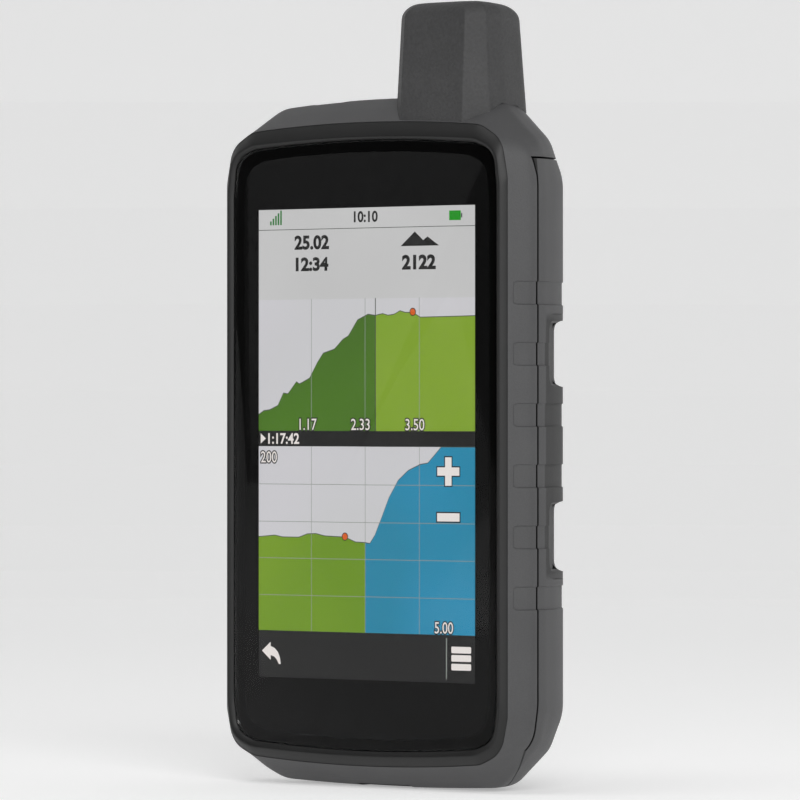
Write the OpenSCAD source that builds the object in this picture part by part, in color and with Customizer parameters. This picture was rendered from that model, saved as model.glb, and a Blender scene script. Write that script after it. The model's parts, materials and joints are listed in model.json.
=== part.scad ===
// Handheld GPS unit: rugged two-shell case with a large glass front, a helix antenna
// under a shroud at the top right, and a lift-off battery cover locked by a D-ring.
// +X is to the user's right when reading the screen, +Y is away from the user, +Z is up.
// The origin is the centre of the bottom of the bounding box.

/* [Display] */
// Width of the lit display area
display_w = 65.3; // [60:0.1:66]
// Height of the lit display area
display_h = 108.9; // [100:0.1:110]
// Height of the display centre above the bottom
display_z = 79.4; // [78:0.1:80]
// Thickness of the cover glass
glass_t = 1.1; // [0.8:0.1:1.1]

/* [Case] */
// Wall thickness of the front housing
wall = 1.8; // [1.5:0.1:1.8]
// Wall thickness of the battery cover
cover_wall = 1.9; // [1.6:0.1:1.9]
// Width of the seam between the front housing and the battery cover
seam = 0.25; // [0.15:0.05:0.3]
// Number of grip grooves along each side
grip_count = 6; // [1:1:6]
// Distance between grip grooves
grip_pitch = 13.86; // [12:0.1:14]
// Height of one grip groove
grip_h = 5.2; // [4:0.1:7]

/* [Antenna] */
// Height of the top of the antenna shroud above the bottom
antenna_top = 181.3; // [176:0.1:184]
// Centre of the antenna across the unit
antenna_x = 19.3; // [18:0.1:20.5]
// Turns of the antenna winding
helix_turns = 0.5; // [0.25:0.25:1]

/* [Battery] */
// Width of the battery pack
battery_w = 56; // [50:1:57]
// Height of the battery pack
battery_h = 78; // [70:1:79]
// Thickness of the battery pack
battery_t = 14; // [10:0.5:14]

/* [Latch] */
// Height of the latch axis above the bottom
latch_z = 20; // [19.5:0.1:20.2]
// Radius of the latch shaft
latch_shaft_r = 3; // [2.5:0.1:3]
// Radial clearance of running fits
running_gap = 0.05; // [0.02:0.01:0.08]
// Clearance between moving pieces that don't guide each other
free_gap = 0.3; // [0.2:0.05:0.35]

/* [Connectors] */
// Bore radius of the external antenna jack
mcx_bore_r = 1.75; // [1.6:0.05:1.8]
// Travel of the power button
button_travel = 0.5; // [0.3:0.1:0.6]

/* [Hidden] */

$fn = 48;
eps = 0.01;

// Depth stations, front to back
y_ridge = -16.6;
y_glass = -15.95;
y_bezel = -15.25;
y_side = -10.7;
y_seam = -8.8;
y_wide = -6.35;
y_back = 16.6;
y_bezel_back = -13.7;
y_ledge = y_glass + glass_t + 0.5;
y_front_wall = -12.4;
y_rim = -11.4;
y_tub_front = -5.0;
y_tub_back = 11.4;
y_bay_floor = -3.2;

// Heights of the slanted sides that lead from the bottom and top corners to the straight side
side_rise = 8;
side_drop = 8.5;

// Sections of the case: [y, half width, top, bottom, top corner, bottom corner].
// A corner is [in, down] of its outer point, then [in, down] of its inner point.
BEZEL_FORM = [y_bezel, 42.35, 153.6, 5.05, [1.7, 5.0, 7.85, 1.45], [1.8, 4.2, 8.05, 1.4]];
CASE_FORM = [
    BEZEL_FORM,
    [y_side, 46.1, 156.9, 2.0, [0.75, 10.4, 12.35, 1.8], [1.15, 10.3, 12.35, 1.0]],
    [y_wide, 46.1, 159.4, 0, [0.95, 12.0, 12.85, 1.5], [1.35, 11.4, 12.85, 0.8]],
    [-0.5, 44.7, 159.4, 0, [1.9, 10.9, 12.6, 1.5], [2.4, 10.3, 13.1, 0.8]],
    [5.0, 42.35, 158.6, 0, [3.7, 9.7, 12.6, 1.5], [3.7, 9.3, 13.6, 0.8]],
    [9.3, 38.8, 157.6, 1.2, [4.4, 9.5, 12.6, 1.5], [4.4, 9.3, 13.6, 0.8]],
    [13.6, 34.3, 155.8, 4.6, [4.4, 9.5, 12.6, 1.5], [4.4, 9.3, 13.6, 0.8]],
    [y_back, 30.2, 153.3, 8.5, [4.4, 9.5, 12.6, 1.5], [4.4, 9.3, 13.6, 0.8]]];
GLASS_FORM = [y_glass, 39.5, 149.3, 8.75, [0.9, 3.4, 6.3, 1.4], [1.0, 3.4, 6.3, 1.4]];
RIDGE_FORM = [y_ridge, 40.85, 150.2, 7.4, [1.1, 3.8, 7.0, 1.2], [1.2, 3.6, 7.0, 1.2]];

// Battery cover's outline seen from the side, as [y, z]
COVER_SIDE = [[-9.8, 144.3], [y_seam, 140.5], [y_seam, 10], [-3.4, 2.2], [0.6, -0.7],
    [20, -0.7], [20, 144.3]];
shelf_z = 144.3 + seam;
shelf_t = 1.75;

// Battery bay and the seal around it
bay_w = 59;
bay_low = 33.5;
bay_high = 117;
battery_low = 37;
battery_y = -2.9;
seal_w = 1.4;
seal_out = 1.8;

// Screws that join the two housings
case_screw_x = 39;
boss_r = 2.4;
CASE_SCREW_Z = [19, 45, 79.5, 114, 137];

// Latch
cup_r = 9.2;
cup_floor_y = 11.9;
cup_floor_t = 1.5;
head_y = 13.6;
spring_z = 3.9;
head_t = 1.3;
ring_y = 15.7;
ring_t = 1.3;
ring_bar_r = 0.7;
ring_out_r = 8.4;
ring_in_r = 6.2;

// Power button, external antenna jack and USB port
button_x = -18;
button_y = -3.6;
button_top = 158.5;
mcx_x = -9;
mcx_z = 148.7;
mcx_seat_y = 11.7;
usb_y = -5.2;

// Antenna
antenna_y = -3;
collar_r = 8.6;
core_r = 6.3;
antenna_base = 150;

function unit(v) = v / norm(v);
function short_turn(d) = d > 180 ? d - 360 : (d < -180 ? d + 360 : d);

// Points of the arc of radius r that rounds corner p between p0 and p1
function corner_arc(p0, p, p1, r, n) =
    let (a = unit(p0 - p), b = unit(p1 - p), half = acos(a * b) / 2,
        c = p + unit(a + b) * r / sin(half),
        s = p + a * r / tan(half) - c, e = p + b * r / tan(half) - c,
        a0 = atan2(s.y, s.x), turn = short_turn(atan2(e.y, e.x) - a0))
    [for (i = [0:n]) c + r * [cos(a0 + turn * i / n), sin(a0 + turn * i / n)]];

// Rounds a closed outline given as [x, z, corner radius]
function rounded(pts, n = 4) = [for (i = [0:len(pts) - 1])
    let (m = len(pts), q = pts[i], p = [q.x, q.y],
        before = pts[(i + m - 1) % m], after = pts[(i + 1) % m])
    each q[2] == 0 ? [p]
        : corner_arc([before.x, before.y], p, [after.x, after.y], q[2], n)];

// Case outline of one form, drawn in by inset all round
function outline(form, inset = 0) =
    let (w = form[1] - inset, top = form[2] - inset, low = form[3] + inset,
        t = form[4], b = form[5], steps = 6,
        r_top = min(8, t[2] - 1.3), r_low = min(8, b[2] - 1.3))
    rounded([
        for (i = [1:steps - 1]) let (s = 2 * i / steps - 1)
            [s * (w - b[2]), low + b[3] * s * s, 0],
        [w - b[2], low + b[3], 8], [w - b[0], low + b[1], r_low],
        [w, low + b[1] + side_rise, 0], [w, top - t[1] - side_drop, 0],
        [w - t[0], top - t[1], r_top], [w - t[2], top - t[3], 8],
        for (i = [1:steps - 1]) let (s = 1 - 2 * i / steps)
            [s * (w - t[2]), top - t[3] * s * s, 0],
        [t[2] - w, top - t[3], 8], [t[0] - w, top - t[1], r_top],
        [-w, top - t[1] - side_drop, 0], [-w, low + b[1] + side_rise, 0],
        [b[0] - w, low + b[1], r_low], [b[2] - w, low + b[3], 8]]);

// Solid through a list of rings that have the same number of points
module loft(rings) {
    n = len(rings[0]);
    last = len(rings) - 1;
    polyhedron(
        points = [for (ring = rings) each ring],
        faces = [
            [for (i = [0:n - 1]) i],
            [for (i = [n - 1:-1:0]) last * n + i],
            for (k = [0:last - 1]) for (i = [0:n - 1]) let (j = (i + 1) % n)
                each [[k * n + i, (k + 1) * n + i, (k + 1) * n + j],
                    [k * n + i, (k + 1) * n + j, k * n + j]]]);
}

// Outline at depth y, taken clockwise as the front sees it
function ring_at(points, y) = [for (i = [len(points) - 1:-1:0]) [points[i].x, y, points[i].y]];

module case_solid(inset = 0) {
    loft([for (form = CASE_FORM) ring_at(outline(form, inset), form[0])]);
}

// Extrudes a child drawn as (x, z) from y0 to y1
module plate(y0, y1) {
    translate([0, y1, 0])
        rotate([90, 0, 0])
            linear_extrude(y1 - y0)
                children();
}

module block(x0, x1, y0, y1, z0, z1) {
    translate([x0, y0, z0])
        cube([x1 - x0, y1 - y0, z1 - z0]);
}

// Cylinder along Y, centred at x and z
module rod_y(x, z, r, y0, y1) {
    translate([x, y1, z])
        rotate([90, 0, 0])
            cylinder(r = r, h = y1 - y0);
}

module round_rect(w, h, r) {
    for (x = [-1, 1]) for (y = [-1, 1])
        translate([x * (w / 2 - r), y * (h / 2 - r)])
            circle(r);
    square([w - 2 * r, h], center = true);
    square([w, h - 2 * r], center = true);
}

// Region of the battery cover, grown all round by grow
module cover_region(grow = 0) {
    translate([-60, 0, 0])
        rotate([90, 0, 90])
            linear_extrude(120)
                offset(delta = grow)
                    polygon(COVER_SIDE);
}

// Shallow grip grooves that run round the edge of the case, on both sides. Their middle
// lies a little below the middle of the display.
module grip_grooves() {
    depth = 0.35;
    low = display_z - 0.3 - (grip_count - 1) * grip_pitch / 2 - grip_h / 2;
    for (side = [-1, 1]) for (i = [0:grip_count - 1])
        translate([0, 0, low + i * grip_pitch])
            scale_side(side)
                linear_extrude(grip_h)
                    polygon([[43.35, -14.2], [43.15, -13.75], [46.1 - depth, -10.6],
                        [46.1 - depth, -6.45], [44.7 - depth, -0.6], [42.35 - depth, 4.9],
                        [38.8 - depth, 9.2], [34.3 - depth, 13.4], [32.6, 15.3],
                        [50, 15.3], [50, -14.2]]);
}

// Mirrors a child to the left side when side is -1
module scale_side(side) {
    if (side > 0) {
        children();
    } else {
        mirror([1, 0, 0])
            children();
    }
}

// Shallow recess along each rear edge, and the two notches that a mount grips
RAIL_LOW = 48.6;
RAIL_HIGH = 109.2;
NOTCHES = [[50.2, 66.3], [92.5, 107.7]];
NOTCH_FLOOR = [[44.6, -2.9], [42.3, -1.4], [39.2, 5.0], [35.9, 9.0], [33.0, 12.5],
    [30.9, 15.2], [30.4, 17]];
module rail_recess() {
    for (side = [-1, 1])
        scale_side(side) {
            translate([0, 0, RAIL_LOW])
                linear_extrude(RAIL_HIGH - RAIL_LOW)
                    polygon([[46.2, -6.0], [45.2, -5.2], [43.8, -0.5], [41.8, 4.7],
                        [39.3, 8.9], [50, 8.9], [50, -6.0]]);
            for (notch = NOTCHES)
                translate([0, 0, notch[0]])
                    linear_extrude(notch[1] - notch[0])
                        polygon(concat(NOTCH_FLOOR, [[50, 17], [50, -2.9]]));
        }
}

// Outer form of the case with its grooves and recesses
module case_form() {
    difference() {
        case_solid();
        grip_grooves();
        rail_recess();
    }
}

// ---------------------------------------------------------------- display stack

module touch_glass() {
    color("#15171a")
        plate(y_glass, y_glass + glass_t)
            polygon(outline(GLASS_FORM));
}

module touch_sensor() {
    color("#39434a")
        plate(y_glass + glass_t, y_glass + glass_t + 0.2)
            translate([0, display_z])
                square([display_w + 4, display_h + 5], center = true);
}

module display_panel() {
    color("#cfd4cf")
        plate(y_glass + glass_t + 0.2, y_glass + glass_t + 1.9)
            translate([0, display_z])
                square([display_w + 4, display_h + 7], center = true);
}

module display_backlight() {
    color("#e8e8e4")
        plate(y_glass + glass_t + 1.9, y_glass + glass_t + 3.2)
            translate([0, display_z])
                round_rect(display_w + 4.6, display_h + 7.6, 1.2);
}

module glass_gasket() {
    color("#1b1b1b")
        plate(y_glass + glass_t, y_ledge)
            difference() {
                polygon(outline(GLASS_FORM, 0.3));
                polygon(outline(GLASS_FORM, 2.6));
            }
}

module bezel() {
    outer = outline(BEZEL_FORM, 0.03);
    inner = outline(GLASS_FORM, -0.1);
    color("#161718")
        difference() {
            loft([ring_at(outline(RIDGE_FORM, -0.15), y_ridge), ring_at(outer, y_bezel),
                ring_at(outer, y_bezel_back)]);
            loft([ring_at(outline(RIDGE_FORM, 0.25), y_ridge - eps),
                ring_at(inner, y_glass), ring_at(inner, y_bezel_back + 1)]);
        }
}

// ---------------------------------------------------------------- front housing

module button_shape(grow) {
    round_rect(12 + 2 * grow, 5.4 + 2 * grow, 2.6 + grow);
}

module screw_bosses() {
    for (side = [-1, 1]) for (z = CASE_SCREW_Z)
        rod_y(side * case_screw_x, z, boss_r, y_front_wall - 0.5, y_tub_front);
}

module front_shell() {
    difference() {
        case_form();
        cover_region(seam);
        difference() {
            intersection() {
                case_solid(wall);
                block(-60, 60, y_front_wall, 14.7, -1, 190);
            }
            block(-60, 60, -7.5, 20, shelf_z - 1, shelf_z + shelf_t);
        }
        plate(-20, y_bezel_back)
            polygon(outline(BEZEL_FORM));
        plate(-20, y_ledge)
            polygon(outline(GLASS_FORM, -0.1));
    }
}

module front_ledge() {
    plate(y_ledge, y_front_wall)
        difference() {
            polygon(outline(GLASS_FORM, -0.6));
            translate([0, display_z])
                square([display_w + 6.2, display_h + 9.4], center = true);
        }
}

module front_housing() {
    color("#4b4c4e")
        difference() {
            union() {
                difference() {
                    front_shell();
                    plate(y_front_wall - 2, y_front_wall + 0.5)
                        translate([0, display_z])
                            square([display_w + 6.2, display_h + 9.4], center = true);
                }
                screw_bosses();
                translate([antenna_x, antenna_y, 156])
                    cylinder(r = collar_r, h = 7.4);
                block(mcx_x - 11.5, mcx_x + 9, 12, 14.8, shelf_z + 1, 152.6);
                block(-9.6, 9.6, -8.2, usb_y + 2, 1.6, 3.2);
            }
            for (side = [-1, 1]) for (z = CASE_SCREW_Z)
                rod_y(side * case_screw_x, z, 0.85, y_front_wall + 1, y_tub_front + 1);
            translate([antenna_x, antenna_y, 150])
                cylinder(r = collar_r - 1.4, h = 20);
            translate([button_x, button_y, 150])
                linear_extrude(20)
                    button_shape(free_gap);
            mcx_recess();
            rod_y(mcx_x, mcx_z, 2.22, 10, 16);
            block(-8.8, 6.9, usb_y - 2.35, usb_y + 2.35, -1, 1.65);
            block(-4.15, 4.15, usb_y - 1.55, usb_y + 1.55, 1, 8);
        }
}

module mcx_recess() {
    plate(15.1, 20)
        translate([mcx_x - 3.6, mcx_z])
            round_rect(15.6, 6, 2.9);
}

// ---------------------------------------------------------------- antenna

// Right half of the shroud's outline at its base, front to back. Each point is
// [x, y, corner radius], the x and y it moves for each millimetre of height, and the
// share of an inset that moves it back.
SHROUD = [[9.25, -15.05, 0.8, -0.013, 0.062, 1], [14.25, -10.4, 1.2, -0.06, 0.01, 0.4],
    [14.7, -5.5, 8, -0.055, 0, 0], [13.8, 4.2, 5, -0.05, -0.055, -0.5],
    [7.8, 9.1, 5, -0.03, -0.069, -1]];

// Outline of the shroud at height z, drawn in by inset
function shroud_outline(z, inset = 0) =
    let (h = z - antenna_base,
        half = [for (p = SHROUD)
            [p.x + p[3] * h - inset, p.y + p[4] * h + p[5] * inset, p[2]]])
    rounded([for (p = half) p,
        for (i = [len(half) - 1:-1:0]) [-half[i].x, half[i].y, half[i][2]]], 4);

// The same outline in space, lowered towards the back by drop
function shroud_ring(z, inset, drop) =
    [for (p = shroud_outline(z, inset))
        [antenna_x + p.x, p.y, z - drop * (p.y + 15) / 24]];

module shroud_solid(inset) {
    top = antenna_top - inset;
    loft([for (s = [[antenna_base, 0, 0], [top - 3.7, 0, 1], [top - 2.0, 0.5, 1],
        [top - 0.8, 1.7, 1], [top, 4.2, 1]])
        shroud_ring(s[0], s[1] + inset, s[2])]);
}

module antenna_cover() {
    color("#3f4042")
        difference() {
            shroud_solid(0);
            shroud_solid(1.7);
            case_solid();
        }
}

module antenna_core() {
    color("#d9d4c6")
        translate([antenna_x, antenna_y, 157.2]) {
            difference() {
                cylinder(r = core_r, h = 18.6);
                translate([0, 0, -1])
                    cylinder(r = core_r - 1.2, h = 18.4);
            }
        }
}

module antenna_windings() {
    color("#b87333")
        translate([antenna_x, antenna_y, 157.6])
            linear_extrude(17.6, twist = -360 * helix_turns, slices = 16, segments = 4)
                for (a = [0:90:270])
                    rotate(a)
                        translate([core_r + 0.14, 0])
                            square([0.22, 1.6], center = true);
}

module antenna_board() {
    color("#1f5c3a")
        translate([antenna_x, antenna_y, 156])
            cylinder(r = core_r + 0.6, h = 1.2);
}

module antenna_seal() {
    color("#202020")
        translate([antenna_x, antenna_y, 161])
            difference() {
                cylinder(r = collar_r + 0.7, h = 1.4);
                translate([0, 0, -1])
                    cylinder(r = collar_r, h = 4);
            }
}

module antenna_coax() {
    route = [[antenna_x, antenna_y, 156], [antenna_x, antenna_y, 152.5],
        [antenna_x - 2, -8.2, 149], [antenna_x - 2, -8.2, 128]];
    color("#8a8a8a")
        cable(route, 0.6);
}

// Thin cable along straight runs with round joints
module cable(route, r) {
    for (i = [0:len(route) - 2])
        run(route[i], route[i + 1], r);
    for (i = [1:len(route) - 2])
        translate(route[i])
            sphere(r, $fn = 24);
}

module run(a, b, r) {
    d = b - a;
    translate(a)
        rotate([0, acos(d.z / norm(d)), atan2(d.y, d.x)])
            cylinder(r = r, h = norm(d), $fn = 24);
}

// ---------------------------------------------------------------- electronics

module midframe() {
    color("#a9abad")
        difference() {
            plate(-11.5, -10.7)
                translate([0, 80])
                    difference() {
                        round_rect(70, 114, 3);
                        for (z = [-36, -12, 12, 36])
                            translate([0, z])
                                round_rect(44, 15, 3);
                    }
            for (p = board_screw_places())
                rod_y(p.x, p.y, 0.75, -13, -9);
        }
    color("#a9abad")
        for (p = board_screw_places())
            difference() {
                rod_y(p.x, p.y, 2, -10.75, -10);
                rod_y(p.x, p.y, 0.75, -13, -9);
            }
}

function board_screw_places() = [[-31, 29], [31, 29], [-31, 130], [31, 130]];

module main_board() {
    color("#1d5b3c")
        plate(-10, -9)
            difference() {
                union() {
                    translate([0, 79])
                        round_rect(68, 108, 3);
                    translate([button_x, 140])
                        square([15, 20], center = true);
                }
                for (p = board_screw_places())
                    translate(p)
                        circle(1.1);
            }
}

module shield_cans() {
    color("#b9bcc0")
        for (can = [[-14, 108, 34, 30], [17, 112, 20, 22], [8, 68, 30, 34]])
            plate(-9, -7.2)
                translate([can[0], can[1]])
                    round_rect(can[2], can[3], 1);
}

module board_chips() {
    color("#26282b") {
        for (i = [0:4])
            block(-29, -22, -9, -8, 44 + 9 * i, 50 + 9 * i);
        for (i = [0:2])
            block(-12 + 12 * i, -5 + 12 * i, -9, -7.9, 38, 45);
        block(24, 31, -9, -7.6, 60, 72);
    }
}

module board_screws() {
    color("#c9ccd0")
        for (p = board_screw_places()) {
            rod_y(p.x, p.y, 1.9, -9, -8.1);
            rod_y(p.x, p.y, 0.72, -11.4, -8.9);
        }
}

module display_flex() {
    color("#c98a2b") {
        block(-8, 8, -12.6, -8.6, 20.9, 21.1);
        block(-8, 8, -8.8, -8.6, 21.1, 33);
        block(-9, 9, -9, -7.9, 33, 36);
    }
}

module power_button() {
    flange_z = button_top - 3.8;
    color("#2b2c2e")
        translate([button_x, button_y, 0]) {
            translate([0, 0, flange_z + 0.9])
                linear_extrude(button_top - flange_z - 0.9)
                    button_shape(0);
            translate([0, 0, flange_z])
                linear_extrude(0.9 + eps)
                    button_shape(1);
            translate([-2, -3.3, 152.7])
                cube([4, 4, flange_z - 152.7 + eps]);
        }
}

module power_button_seal() {
    color("#1c1c1c")
        translate([button_x, button_y, button_top - 2.85])
            linear_extrude(0.6)
                difference() {
                    button_shape(0.95);
                    button_shape(0.35);
                }
}

module power_switch() {
    color("#c6c8cb")
        block(button_x - 3, button_x + 3, -9, -4.6, 147, 150.6);
    color("#2a2a2a")
        translate([button_x, -6, 150.5])
            cylinder(r = 1.3, h = 1.5);
}

module usb_board() {
    color("#1d5b3c")
        block(-8, 8, usb_y + 1.5, usb_y + 2.3, 3.4, 12.6);
}

module usb_port() {
    color("#c2c6ca")
        difference() {
            block(-4.1, 4.1, usb_y - 1.5, usb_y + 1.5, 1.75, 7.4);
            block(-3.7, 3.7, usb_y - 1.1, usb_y + 1.1, 1, 6.8);
        }
    color("#222222")
        block(-2.8, 2.8, usb_y - 0.1, usb_y + 0.5, 3.6, 6.9);
}

// Rubber cap that swings about its strap, and the strap's foot in the housing
module usb_cap() {
    color("#242526") {
        translate([0, usb_y, 0.4])
            linear_extrude(1.1)
                translate([-0.25, 0])
                    round_rect(12.9, 4.2, 1.6);
        block(-3.3, 3.3, usb_y - 0.75, usb_y + 0.75, 1.4, 3.1);
    }
}

module usb_cap_anchor() {
    color("#242526")
        block(-8.6, -7.1, usb_y - 1.6, usb_y + 1.6, 0.5, 1.6);
}

module mcx_jack() {
    color("#c9a54a")
        difference() {
            union() {
                rod_y(mcx_x, mcx_z, 2.2, 6.5, 14.8);
                block(mcx_x - 3, mcx_x + 5, 5.5, 7, mcx_z - 2.2, mcx_z + 3.8);
            }
            rod_y(mcx_x, mcx_z, mcx_bore_r, mcx_seat_y, 15);
            rod_y(mcx_x, mcx_z, 1.2, 8, 12);
        }
}

module mcx_insulator() {
    color("#e9e6dc")
        difference() {
            rod_y(mcx_x, mcx_z, 1.2, 8, mcx_seat_y);
            rod_y(mcx_x, mcx_z, 0.5, 7, 15);
        }
}

module mcx_contact() {
    color("#d8b24a")
        rod_y(mcx_x, mcx_z, 0.5, 8, mcx_seat_y - 0.1);
}

module mcx_coax() {
    color("#8a8a8a")
        cable([[mcx_x + 4, 5.5, mcx_z + 2], [mcx_x + 4, -8.1, mcx_z + 2],
            [mcx_x + 4, -8.1, 124.5]], 0.5);
}

module mcx_cap() {
    color("#242526") {
        plate(15.3, 16.45)
            translate([mcx_x - 2.65, mcx_z])
                round_rect(12.9, 5.4, 2.6);
        rod_y(mcx_x, mcx_z, 2.3, 15.12, 15.35);
    }
}

module mcx_cap_anchor() {
    color("#242526")
        plate(15.1, 16.2)
            translate([mcx_x - 10.25, mcx_z])
                square([1.5, 3], center = true);
}

module sd_card_slot() {
    color("#b7babd")
        difference() {
            block(-7.5, 7.5, -4.65, y_bay_floor - 0.05, 68, 84);
            block(-5.7, 5.7, -4.35, -3.5, 67, 83.2);
        }
}

module micro_sd_card() {
    color("#1a1a1c")
        block(-5.5, 5.5, -4.3, -3.6, 67, 82);
}

module pressure_vent() {
    color("#eceae4")
        rod_y(20, 131, 3, 8.6, 8.9);
}

module piezo_buzzer() {
    color("#c8a24c")
        rod_y(-18, 131, 6.5, 7.2, 8.9);
    color("#e6e3da")
        rod_y(-18, 131, 4.6, 6.9, 7.25);
}

// ---------------------------------------------------------------- battery

module battery_contact_block() {
    color("#1d1e20")
        block(-12, 12, y_bay_floor, 4.5, bay_low, battery_low - 1.0);
}

module battery_contact_pins() {
    color("#d8b24a")
        for (i = [0:3])
            block(-8.2 + 4.8 * i, -6.2 + 4.8 * i, -0.5, 2.5, battery_low - 1.0,
                battery_low - 0.2);
}

module battery_pack() {
    color("#2e3033")
        plate(battery_y, battery_y + battery_t)
            translate([0, battery_low + battery_h / 2])
                round_rect(battery_w, battery_h, 4);
}

module battery_terminals() {
    color("#d8b24a")
        for (i = [0:3])
            block(-8.5 + 4.8 * i, -5.9 + 4.8 * i, -1, 3, battery_low - 0.2, battery_low);
}

module battery_pads() {
    color("#37393b")
        for (x = [-18, 18])
            plate(battery_y + battery_t + 0.2, 14.7)
                translate([x, battery_low + battery_h / 2])
                    round_rect(10, 60, 2);
}

// ---------------------------------------------------------------- rear housing

module seal_ring(grow) {
    h = bay_high - bay_low;
    difference() {
        round_rect(bay_w + 2 * seal_out + 2 * grow, h + 2 * seal_out + 2 * grow, 4 + grow);
        round_rect(bay_w + 2 * (seal_out - seal_w) - 2 * grow,
            h + 2 * (seal_out - seal_w) - 2 * grow, 3 - grow);
    }
}

module at_bay(y0, y1) {
    plate(y0, y1)
        translate([0, (bay_low + bay_high) / 2])
            children();
}

module tub_form() {
    intersection() {
        case_solid(2.3);
        block(-60, 60, y_rim, y_tub_back, 0, 143.9);
    }
}

module rear_housing() {
    color("#303133")
        difference() {
            tub_form();
            difference() {
                union() {
                    block(-39.5, 39.5, -12, y_tub_front, 13, 141);
                    block(-34, 34, y_tub_front - 1, 8.9, 121, 141);
                    for (side = [-1, 1])
                        scale_side(side) {
                            block(33.6, 37.5, y_tub_front - 1, 0, 32, 118);
                            block(12, 33, y_tub_front - 1, 8.4, 11, 29);
                        }
                }
                for (side = [-1, 1]) for (z = CASE_SCREW_Z)
                    rod_y(side * case_screw_x, z, 3.2, y_tub_front, 4);
            }
            block(-bay_w / 2, bay_w / 2, y_bay_floor, 20, bay_low, bay_high);
            at_bay(10.4, 20)
                seal_ring(0);
            for (side = [-1, 1]) for (z = CASE_SCREW_Z) {
                rod_y(side * case_screw_x, z, boss_r + 0.3, -12, y_tub_front);
                rod_y(side * case_screw_x, z, 1.1, -12, 20);
                rod_y(side * case_screw_x, z, 2.6, -2, 20);
            }
            for (z = [-1, 1])
                block(-6.8, 6.8, 5.5, 6.9, latch_z + z * spring_z - 0.65,
                    latch_z + z * spring_z + 0.65);
            rod_y(0, latch_z, 7.2, 3, 20);
            rod_y(0, latch_z, 11.2, 9.2, 20);
            block(-7.6, 7.6, -4.7, 0, 66.8, 84.1);
            rod_y(20, 131, 1.2, 0, 20);
            block(-10, 10, -8.9, -1.2, 1, 14);
            block(button_x - 8.5, button_x + 8.5, -12, -7, 139, 150);
            block(-9, 24, -12, -6, 139, 150);
            block(-60, 60, -10.5, -9.3, -1, 160);
            notch_clearance();
        }
    color("#303133")
        intersection() {
            plate(-11, -9)
                polygon(outline(CASE_FORM[1], 3.25));
            difference() {
                block(-60, 60, -10.6, -9.2, 0, 143.1);
                block(-39.5, 39.5, -12, -5, 13, 141);
                block(button_x - 8.5, button_x + 8.5, -12, -7, 139, 150);
                block(-9, 24, -12, -6, 139, 150);
                for (side = [-1, 1]) for (z = CASE_SCREW_Z)
                    rod_y(side * case_screw_x, z, boss_r + 0.3, -12, 0);
            }
        }
}

module housing_seal() {
    color("#6d2f1f")
        difference() {
            plate(-10.45, -9.35)
                polygon(outline(CASE_FORM[1], wall + 0.05));
            plate(-11, -9)
                polygon(outline(CASE_FORM[1], 3.15));
            block(-60, 60, -12, -5, 143.0, 160);
        }
}

module case_screws() {
    color("#9a9da1")
        for (side = [-1, 1]) for (z = CASE_SCREW_Z)
            difference() {
                union() {
                    rod_y(side * case_screw_x, z, 1.9, -2, -0.4);
                    rod_y(side * case_screw_x, z, 0.85, -10.5, -1.9);
                }
                translate([side * case_screw_x, 0, z])
                    rotate([90, 0, 0])
                        cylinder(r = 0.95, h = 1.2, $fn = 6);
            }
}

// ---------------------------------------------------------------- battery cover

module battery_cover() {
    color("#4b4c4e")
        difference() {
            union() {
                difference() {
                    intersection() {
                        case_form();
                        cover_region();
                    }
                    intersection() {
                        case_solid(cover_wall);
                        block(-60, 60, -20, 14.7, -5, 190);
                    }
                }
                intersection() {
                    at_bay(12.5, 14.8)
                        seal_ring(0);
                    case_form();
                }
                rod_y(0, latch_z, cup_r + 1.6, cup_floor_y, 15);
                notch_walls();
            }
            rod_y(0, latch_z, cup_r, cup_floor_y + cup_floor_t, 20);
            rod_y(0, latch_z, latch_shaft_r + running_gap, 5, 20);
            rod_y(0, latch_z, 4.3, 5, cup_floor_y + 1.0);
        }
}

// Floor behind the mount notches, and the room it needs in the rear housing
NOTCH_BACK = [[29.9, 14.4], [31.9, 11.8], [34.9, 8.1], [38.0, 4.4], [41.1, -2.2],
    [43.4, -4.4]];
module notch_walls() {
    for (side = [-1, 1]) for (notch = NOTCHES)
        scale_side(side)
            translate([0, 0, notch[0] - 1.2])
                linear_extrude(notch[1] - notch[0] + 2.4)
                    polygon(concat([[44.4, -3.2]], [for (i = [1:5]) NOTCH_FLOOR[i]],
                        NOTCH_BACK));
}

module notch_clearance() {
    for (side = [-1, 1]) for (notch = NOTCHES)
        scale_side(side)
            translate([-0.4, -0.2, notch[0] - 1.6])
                linear_extrude(notch[1] - notch[0] + 3.2)
                    polygon(concat(NOTCH_BACK, [[50, -4.4], [50, 14.4]]));
}

module battery_cover_seal() {
    color("#6d2f1f")
        at_bay(10.4, 12.2)
            seal_ring(-0.1);
}

module latch_shaft() {
    color("#55575a")
        difference() {
            union() {
                rod_y(0, latch_z, cup_r - free_gap, head_y, head_y + head_t);
                difference() {
                    rod_y(0, latch_z, latch_shaft_r, 5, head_y + eps);
                    difference() {
                        rod_y(0, latch_z, latch_shaft_r + 1, 10.8, 11.5);
                        rod_y(0, latch_z, latch_shaft_r - 0.6, 10, 12);
                    }
                }
                for (x = [-4.6, 4.6])
                    block(x - 1.1, x + 1.1, head_y + head_t - eps, 16.52, latch_z - 1.4,
                        latch_z + 1.4);
            }
            translate([-20, ring_y, latch_z])
                rotate([0, 90, 0])
                    cylinder(r = ring_bar_r + running_gap, h = 40);
            rod_y(0, latch_z, 0.85, 4, 9.5);
        }
}

module latch_cam() {
    color("#8f9296")
        difference() {
            plate(3.6, 5)
                translate([0, latch_z])
                    round_rect(4, 12.4, 1.9);
            rod_y(0, latch_z, 0.9, 3, 6);
        }
}

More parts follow.
